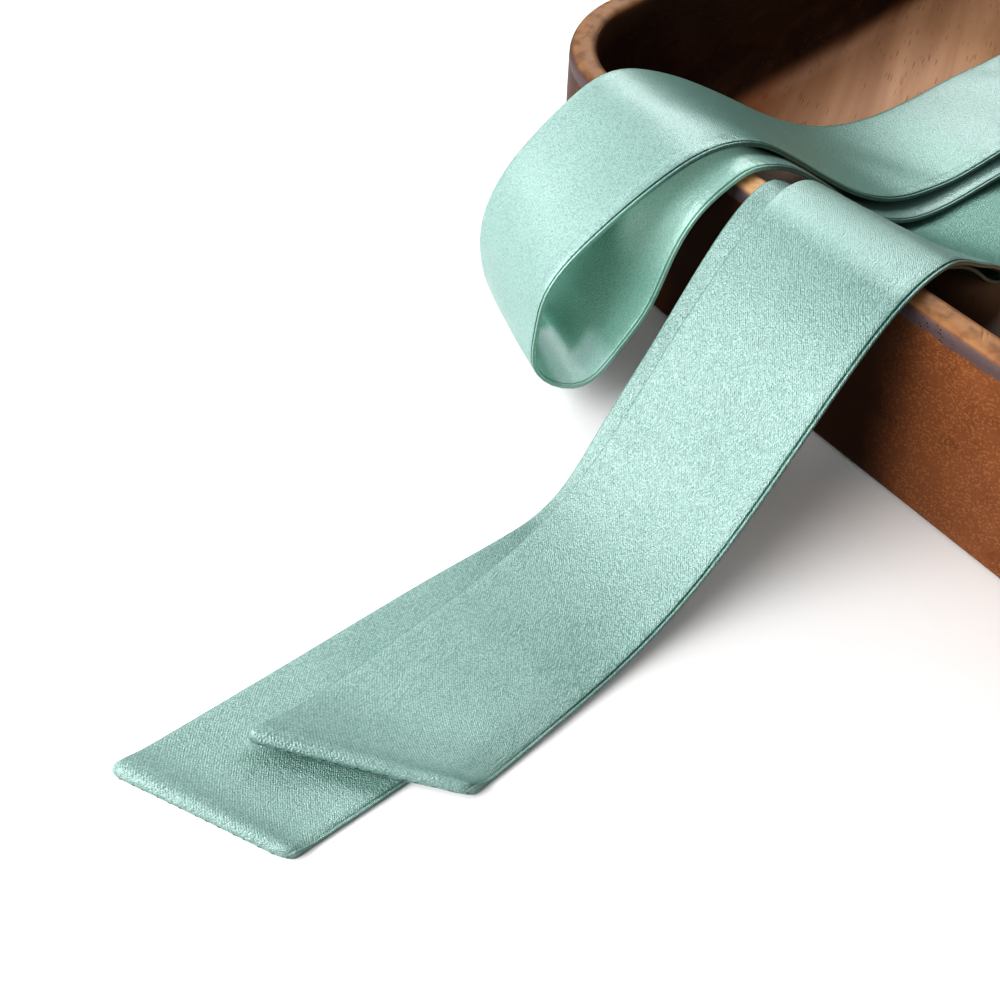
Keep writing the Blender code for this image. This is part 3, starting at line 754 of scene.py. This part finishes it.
def mint_satin():
    material, shader = new_finish("mint_satin")
    # Millimetres: x round the tube, y along the scarf
    cloth = Pattern(shader.outputs[0]).node("UVMap", {"uv_map": "cloth"}, {})
    weave = cloth.stretched((MAP_MM, MAP_MM, 1))
    round_it = weave.node("SeparateXYZ", {}, {0: weave}, 0)
    along = weave.node("SeparateXYZ", {}, {0: weave}, 1)
    from_seam = (round_it - SCARF_WIDTH).maths("ABSOLUTE")
    from_tip = along.maths("MINIMUM", SCARF_LENGTH - along)
    # The satin is pebbled like crepe, in rows that lean across the strip
    pebbles = weave.stretched((1.0, 0.62, 1.0), (0, 0, -32)).cells(0.42, 0.95)
    crepe = weave.stretched((1.0, 0.6, 1.0)).clouds(0.34, 2.0, 0.6, 0.4)
    twill = weave.node("TexWave", {"wave_type": "BANDS", "bands_direction": "X"}, {
        "Vector": weave.stretched((1.0, 1.0, 1.0), (0, 0, -38)), "Scale": 0.52,
        "Distortion": 3.0, "Detail": 2.0, "Detail Scale": 4.0})
    relief = 0.66 * (1 - pebbles) + 0.62 * crepe + 0.20 * twill
    # It shows less towards the middle of the scarf, which is pressed flatter
    relief = (relief - 0.80) * (1.22 - 0.62 * from_tip.rising(230, 560)) + 0.80
    shade = weave.clouds(38.0, 2.0)
    base = relief.rising(0.54, 1.06).colour(SATIN_LOW, SATIN_HIGH)
    base = (shade.rising(0.3, 0.7) * 0.08).colour(base, SATIN_PALE)
    # Painted shade: the folded edge, the deep side of the loop's inner face, the slack strand and
    # the tucked start of the upper tail are painted deeper green, where they see mostly cloth
    from_fold = round_it.maths("MINIMUM", 2 * SCARF_WIDTH - round_it)
    base = ((1 - from_fold.rising(0.25, 0.7)) * 0.4).colour(base, FOLD_SHADE_GREEN)
    inside = (1 - round_it.rising(SCARF_WIDTH + 0.6, SCARF_WIDTH + 1.0)) * along.between(
        LOOP_FOOT - 80, LOOP_FOOT + 80, 24)
    deep = 1 - round_it.rising(14, 42)
    # The loop's foot, where painted highlights streak it and the painted shade leaves off
    foot = along.between(LOOP_FOOT - 5.5, LOOP_FOOT, 5) * round_it.between(18, 47, 7)
    foot = foot.maths("MAXIMUM", along.between(LOOP_FOOT + 2, LOOP_FOOT + 11, 7)
                      * round_it.between(36, 47, 6))
    painted_shade = inside * deep * (1 - foot)
    slack_shade = along.between(LOOP_FROM + 115, LOOP_FROM + 240, 30) * 0.25
    tucked_shade = along.between(UPPER_LAYER_FROM + 96, UPPER_LAYER_FROM + 156, 20) * 0.5
    painted_shade = painted_shade.maths("MAXIMUM", slack_shade).maths("MAXIMUM", tucked_shade)
    base = (painted_shade * 0.85).colour(base, PAINTED_SHADE_GREEN)
    # A painted highlight where the upper tail is stretched over the tray's rim, and painted shade
    # where it turns down in front
    base = (along.between(*CREST, 8) * 0.36).colour(base, CREST_HIGHLIGHT_MINT)
    base = (along.between(*TURN_DOWN, 8) * 0.35).colour(base, TURN_SHADE_GREEN)
    # Behind each hem the cloth dips, and painted shade darkens it
    dip_shade = from_tip.between(10, 22, 13)
    base = (dip_shade * 0.27).colour(base, DIP_SHADE_GREEN)
    # The upper tip stands over the lower tail and shades a band of it
    below = TIP_SHADE_AT + TIP_SHADE_LEAN * (round_it - TIP_SHADE_LEFT) - along
    shaded = below.between(-7.0, 1.0, 4.0) * round_it.between(20, 48, 5)
    base = (shaded * 0.60).colour(base, TIP_SHADE_GREEN)
    # The seam is a dark line in its groove, fainter near the tips, and painted shade darkens its
    # edge
    seam = from_seam.between(0.85, 1.20, 0.32) * (0.3 + 0.7 * from_tip.rising(20, 110))
    base = ((1 - from_seam.rising(0.12, 0.50)) * 0.6).colour(base, EDGE_SHADE_GREEN)
    base = (seam * 0.9).colour(base, SEAM_GREEN)
    # The seam and the painted shade are also metallic, so their reflections stay dark green
    feed(shader, "Metallic", (seam * 0.9).maths("MAXIMUM", painted_shade * 0.65))
    feed(shader, "Base Color", base)
    feed(shader, "Roughness", 0.32 + 0.06 * crepe)
    # Painted light: the inner face of the loop glows, as if light from the window came through
    # its cloth, most of all near the rim, with painted highlights in streaks at the loop's foot
    inside = inside * (1 - deep * 0.86)
    painted_glow = inside.colour((0.0, 0.0, 0.0), LOOP_PAINTED_LIGHT)
    near_rim = along.between(LOOP_FOOT + 58, LOOP_FOOT + 84, 22) * round_it.between(28, 46, 8)
    painted_glow = (near_rim * 0.7).colour(painted_glow, LOOP_RIM_PAINTED_LIGHT)
    painted_glow = (foot * 0.75).colour(painted_glow, LOOP_FOOT_PAINTED_HIGHLIGHT)
    feed(shader, "Emission Color", painted_glow)
    shader.inputs["Emission Strength"].default_value = 1.0
    # Close to the seam and the tips the turned-in hem puckers the cloth
    puckers = weave.stretched((0.95, 0.10, 1.0)).clouds(1.0, 2.0, 0.5)
    puckers = puckers * from_tip.between(1.2, 5.5, 3.0)
    tucks = weave.stretched((0.12, 0.45, 1.0)).clouds(1.0, 2.0, 0.5)
    tucks = tucks * from_seam.between(1.2, 3.6, 2.0)
    relief = relief * 0.28 + puckers * 0.26 + tucks * 0.4
    bump = relief.node("Bump", {}, {"Height": relief, "Strength": 1.0, "Distance": 0.0007})
    feed(shader, "Normal", bump)
    shader.inputs["Specular IOR Level"].default_value = 1.0
    shader.inputs["Specular Tint"].default_value = SATIN_TINT
    shader.inputs["IOR"].default_value = 1.7
    return material


scarf = sew_scarf()
scarf.data.materials.append(mint_satin())
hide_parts("lower_tail", "outer_turn", "loop_top", "loop_back", "inner_turn",
            "upper_tail")
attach(scarf, "root")


# The hand stitches.
# After turning, small stitches of mint thread hold the slanted tips and close the gap that
# was left in the long seam.  Each one is a short slanted length of thread over the edge.
THREAD_RADIUS = 0.13
THREAD_SIDES = 6
STITCH_STEPS = 6
STITCH_BOW = 0.16
STITCH_SUNK = 0.10
STITCH_SLANT = 0.18
STITCH_LENGTH = 1.35
STITCH_INSIDE = 1.5
TIP_STITCHES = 13
FIRST_TIP_STITCH = 4.5
STITCHED_WIDTH = 41.0
GAP_STITCHES = 12
GAP_FROM = 1262
GAP_STITCH_STEP = 3.4
GAP_STITCH_LENGTH = 1.5
THREAD_DARK = (0.030, 0.070, 0.058)
THREAD_LIGHT = (0.080, 0.150, 0.130)


def edge_stitch(work, start, end, outward):
    """One stitch: a six-sided thread from start to end, bowed outward in the middle."""
    along = (end - start) / np.linalg.norm(end - start)
    other = np.cross(along, outward)
    rings = []
    for step in range(STITCH_STEPS + 1):
        share = step / STITCH_STEPS
        bow = math.sin(math.pi * share)
        centre = start + (end - start) * share + outward * (STITCH_BOW * bow - STITCH_SUNK)
        thick = THREAD_RADIUS * (0.35 + 0.65 * bow ** 0.5)
        ring = []
        for corner in range(THREAD_SIDES):
            angle = math.tau * corner / THREAD_SIDES
            off = outward * math.cos(angle) + other * math.sin(angle)
            ring.append(work.verts.new((centre + off * thick) * MM))
        rings.append(ring)
    for low, high in zip(rings, rings[1:]):
        for corner in range(THREAD_SIDES):
            after = (corner + 1) % THREAD_SIDES
            work.faces.new((low[corner], low[after], high[after], high[corner]))
    work.faces.new(rings[0][::-1])
    work.faces.new(rings[-1])


def stitch_places():
    """Ends and outward directions of all the stitches, along both tips and the gap."""
    places = []
    tips = ((0.0, STITCH_INSIDE), (SCARF_LENGTH, SCARF_LENGTH - STITCH_INSIDE))
    for tip_at, inner_at in tips:
        for number in range(TIP_STITCHES):
            inward = FIRST_TIP_STITCH + STITCHED_WIDTH * number / (TIP_STITCHES - 1)
            inward = inward + 0.5 * math.sin(number * 2.3)
            long = STITCH_LENGTH + 0.3 * math.sin(number * 1.7)
            places.append(((tip_at, inward - long / 2), (tip_at, inward + long / 2),
                           (inner_at, inward)))
    for number in range(GAP_STITCHES):
        at = GAP_FROM + GAP_STITCH_STEP * number + 0.4 * math.sin(number * 1.9)
        places.append(((at, SCARF_WIDTH), (at + GAP_STITCH_LENGTH, SCARF_WIDTH),
                       (at + 0.7, SCARF_WIDTH - STITCH_INSIDE)))
    return places


def sew_stitches():
    """The mesh of all the stitches."""
    work = bmesh.new()
    for spots in stitch_places():
        start, end, inner = [scarf_middle(np.array(length), np.array(inward))
                             for length, inward in spots]
        outward = (start + end) / 2 - inner
        outward /= np.linalg.norm(outward)
        slant = np.array([0.0, 0.0, STITCH_SLANT])
        edge_stitch(work, start - slant, end + slant, outward)
    bmesh.ops.recalc_face_normals(work, faces=work.faces)
    mesh = bpy.data.meshes.new("hand_stitches")
    work.to_mesh(mesh)
    work.free()
    mesh.shade_smooth()
    stitches = bpy.data.objects.new("hand_stitches", mesh)
    bpy.context.scene.collection.objects.link(stitches)
    return stitches


def mint_thread():
    material, shader = new_finish("mint_thread")
    twist = coordinates(shader, "Object").clouds(0.0004, 2.0)
    feed(shader, "Base Color", twist.colour(THREAD_DARK, THREAD_LIGHT))
    shader.inputs["Roughness"].default_value = 0.7
    shader.inputs["Specular IOR Level"].default_value = 0.1
    return material


stitches = sew_stitches()
stitches.data.materials.append(mint_thread())
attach(stitches, "root")


# The table top.
# A plain round board, painted matt white.  The tray stands on it and the tails lie on it, and
# it isn't part of the object.
TABLE_RADIUS = 1.25
TABLE_EDGES = 96
PAINT_DULL = (0.80, 0.80, 0.80)
PAINT_WHITE = (0.82, 0.82, 0.82)


def lay_table():
    work = bmesh.new()
    bmesh.ops.create_circle(work, cap_ends=True, segments=TABLE_EDGES, radius=TABLE_RADIUS)
    mesh = bpy.data.meshes.new("table_top")
    work.to_mesh(mesh)
    work.free()
    table = bpy.data.objects.new("table_top", mesh)
    bpy.context.scene.collection.objects.link(table)
    return table


def white_paint():
    material, shader = new_finish("white_paint")
    place = coordinates(shader, "Object")
    base = place.clouds(0.25, 2.0).colour(PAINT_DULL, PAINT_WHITE)
    feed(shader, "Base Color", base)
    shader.inputs["Roughness"].default_value = 0.7
    shader.inputs["Specular IOR Level"].default_value = 0.2
    return material


table = lay_table()
table.data.materials.append(white_paint())


# The light.
# A wide window on the left of the view and another beyond it give soft shadows.  Large pale
# rectangles overhead, behind and on the right fill them, and the room itself is white.
VIEW_ACROSS = Vector((0.640, 0.768, 0.0))
VIEW_AHEAD = Vector((-0.768, 0.640, 0.0))
MIDDLE_OF_VIEW = Vector((-0.04, -0.06, 0.03))
ROOM_WHITE = (1.0, 0.99, 0.98, 1.0)
ROOM_LIGHT = 0.10


def stand_light(name, left, ahead, up, distance, width, height, radiance):
    """A lit rectangle seen from the scarf towards the view's left, far side and top."""
    lamp = bpy.data.lights.new(name, "AREA")
    lamp.shape = "RECTANGLE"
    lamp.size = width
    lamp.size_y = height
    lamp.energy = radiance * math.pi * width * height
    toward = (-VIEW_ACROSS * left + VIEW_AHEAD * ahead + Vector((0, 0, up))).normalized()
    light = bpy.data.objects.new(name, lamp)
    light.location = MIDDLE_OF_VIEW + toward * distance
    light.rotation_euler = (MIDDLE_OF_VIEW - light.location).to_track_quat("-Z", "Y").to_euler()
    bpy.context.scene.collection.objects.link(light)


stand_light("window", 0.84, -0.20, 0.56, 1.6, 1.4, 1.5, 5.3)
stand_light("far_window", 0.62, 0.70, 0.46, 1.8, 1.5, 0.6, 3.2)
stand_light("lamp", 0.05, 0.32, 0.94, 1.6, 1.0, 0.45, 1.2)
stand_light("ceiling", 0.05, -0.90, 0.85, 1.7, 1.5, 0.6, 1.6)
stand_light("white_wall", -0.28, 0.85, 0.60, 2.0, 1.7, 0.70, 4.9)
stand_light("side_wall", -0.75, -0.50, 0.55, 1.8, 1.6, 1.4, 0.35)
room = bpy.data.worlds.new("white_room")
room.use_nodes = True
walls = room.node_tree.nodes["Background"]
walls.inputs["Color"].default_value = ROOM_WHITE
# The walls round the room look white, but their light is kept low
seen = Pattern(walls.outputs[0]).node("LightPath", {}, {}, "Is Camera Ray")
feed(walls, "Strength", seen * (1 - ROOM_LIGHT) + ROOM_LIGHT)
bpy.context.scene.world = room
bpy.context.scene.view_settings.view_transform = "Standard"
bpy.context.scene.view_settings.look = "High Contrast"


# The camera.
# It stands in front of the tails and looks down over them at the tray's left end, as the
# photograph does.
CAMERA_X = 0.0835
CAMERA_IN_FRONT = 212.6
CAMERA_Z = 0.270
CAMERA_LOOK = Vector((-0.4250, 0.3541, -0.8330))
LENS_MM = 36.0
lens = bpy.data.cameras.new("camera")
lens.lens = LENS_MM
lens.sensor_width = LENS_MM
lens.clip_start = 0.01
camera = bpy.data.objects.new("camera", lens)
look = CAMERA_LOOK.normalized()
rise = VIEW_ACROSS.cross(look).normalized()
side = look.cross(rise)
camera.matrix_world = Matrix((
    (side.x, rise.x, -look.x, CAMERA_X),
    (side.y, rise.y, -look.y, (FRONT_Y - CAMERA_IN_FRONT) * MM),
    (side.z, rise.z, -look.z, CAMERA_Z),
    (0, 0, 0, 1)))
bpy.context.scene.collection.objects.link(camera)
bpy.context.scene.camera = camera
